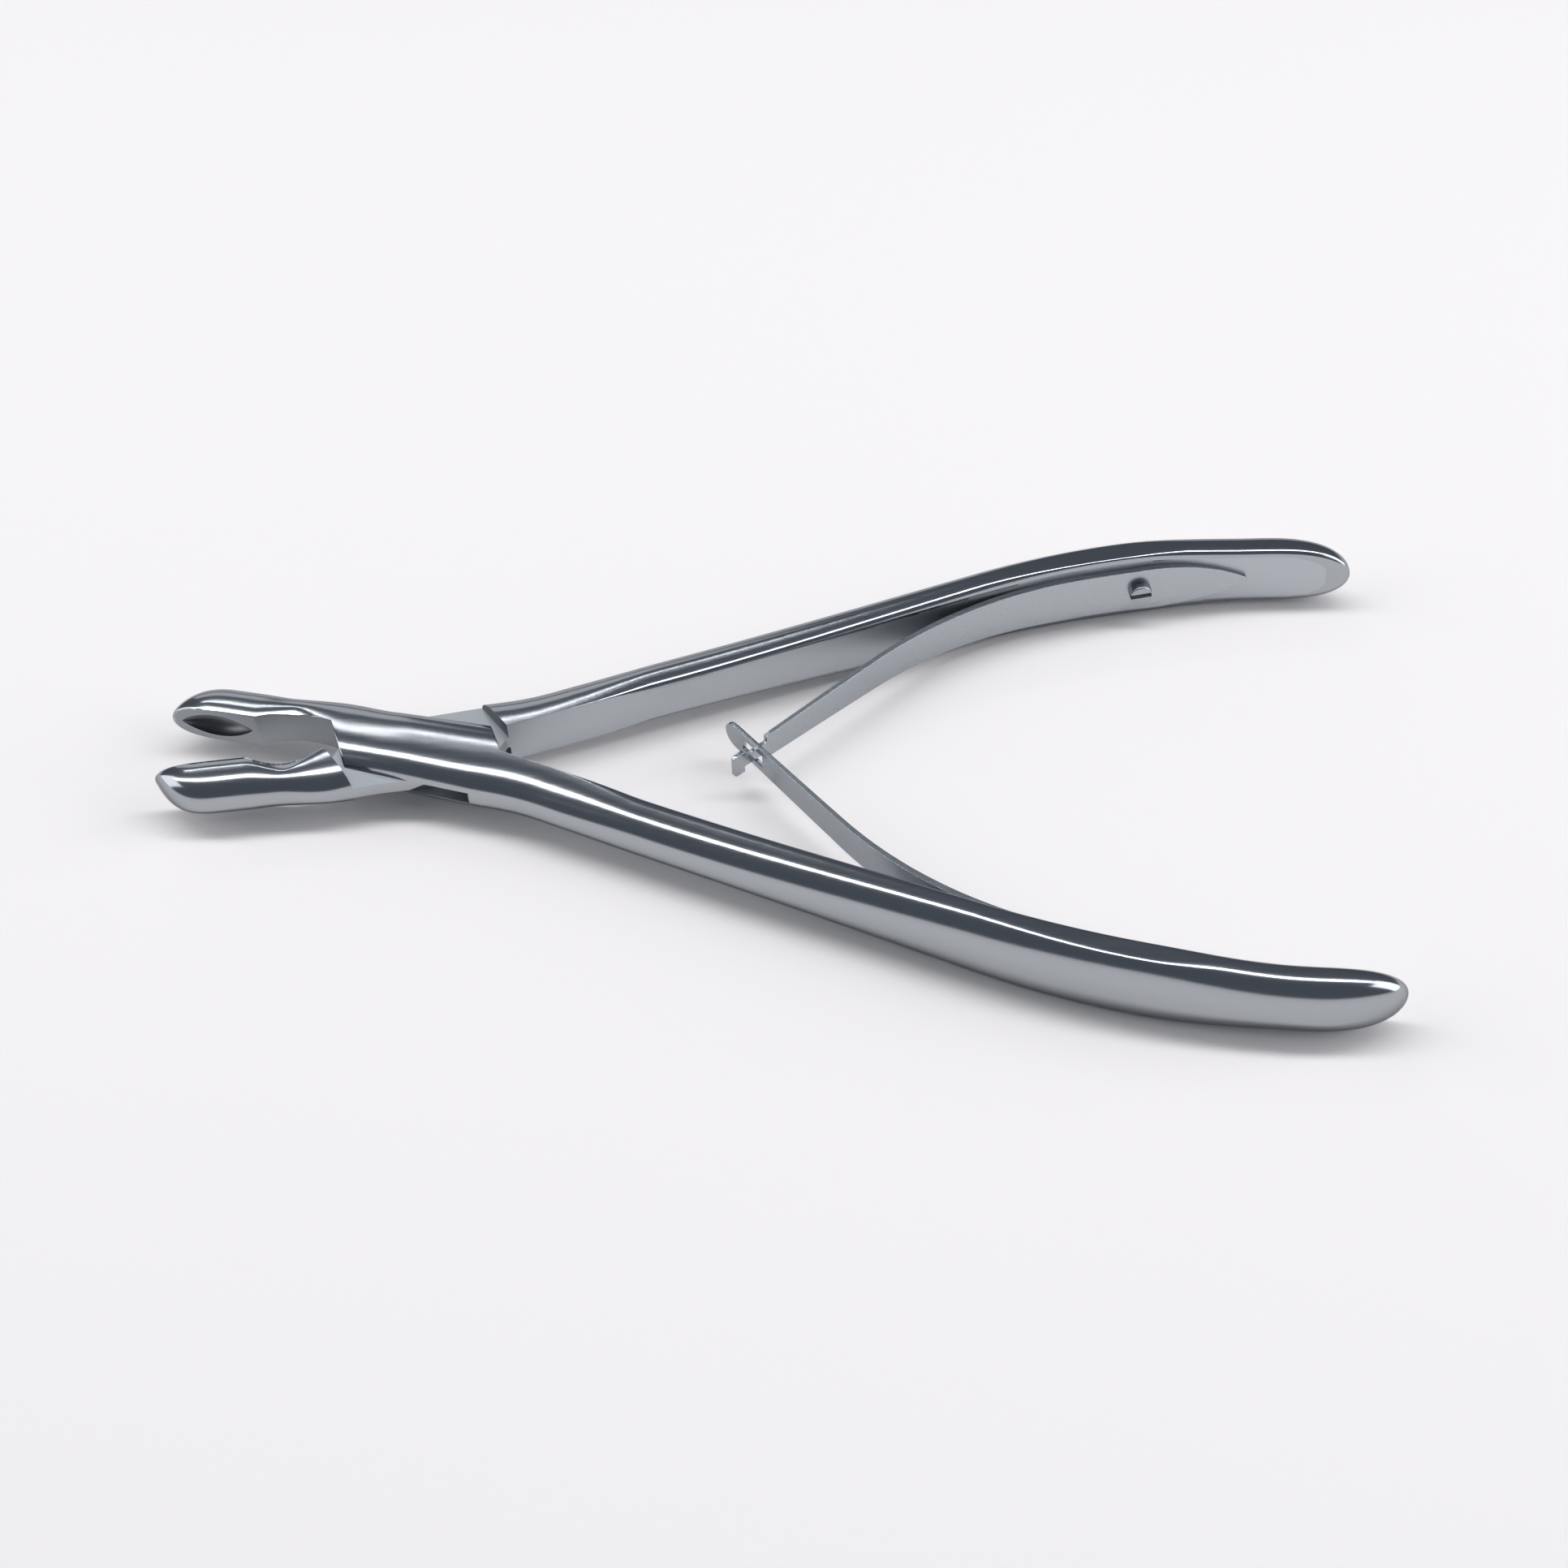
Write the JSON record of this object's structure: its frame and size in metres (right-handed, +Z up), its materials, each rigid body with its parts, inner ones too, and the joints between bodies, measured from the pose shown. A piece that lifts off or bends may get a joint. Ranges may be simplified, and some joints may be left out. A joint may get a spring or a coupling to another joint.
{
  "type": "bone rongeur",
  "caption": "Straight box-lock rongeur with cupped nipping jaws, bowed flat-faced handles and an interlocking pair of leaf springs that hold it open.",
  "frame": {"origin": "bottom centre of the box that holds the whole tool, lying flat and open", "axes": "+X from the jaws to the handles, +Y from the box lever's handle to the tongue lever's handle, +Z up, along the pivot pin"},
  "size_m": [0.17, 0.0844, 0.0118],
  "materials": {
    "lever_steel": "satin to semi-polished stainless steel, blue-grey",
    "spring_steel": "finely brushed stainless spring strip",
    "screw_steel": "turned stainless steel"
  },
  "bodies": {
    "box_side": {"box_lever": "lever_steel", "pivot_pin": "lever_steel", "lower_spring_screw": "screw_steel"},
    "tongue_side": {"tongue_lever": "lever_steel", "upper_spring_screw": "screw_steel"},
    "lower_leaf": {"slotted_leaf_spring": "spring_steel"},
    "upper_leaf": {"headed_leaf_spring": "spring_steel"}
  },
  "joints": [
    {"name": "jaw_hinge", "type": "hinge", "parent": "box_side", "child": "tongue_side", "pos_m": [-0.04925, 0, 0.0059], "axis": [0, 0, 1], "range_deg": [-18.4, 0], "stiffness_Nm_per_rad": 2, "springref_deg": 5.73},
    {"name": "lower_leaf_flex", "type": "hinge", "parent": "box_side", "child": "lower_leaf", "pos_m": [0.02496, -0.02411, 0.0059], "axis": [0, 0, 1], "range_deg": [-0.5, 16], "deforming": ["slotted_leaf_spring"]},
    {"name": "upper_leaf_flex", "type": "hinge", "parent": "tongue_side", "child": "upper_leaf", "pos_m": [0.02717, 0.02545, 0.0059], "axis": [0, 0, 1], "range_deg": [-15, 0.5], "deforming": ["headed_leaf_spring"]}
  ],
  "couplings": [
    {"joint": "lower_leaf_flex", "follows": "jaw_hinge", "ratio": -0.7688},
    {"joint": "upper_leaf_flex", "follows": "jaw_hinge", "ratio": 0.7119}
  ]
}
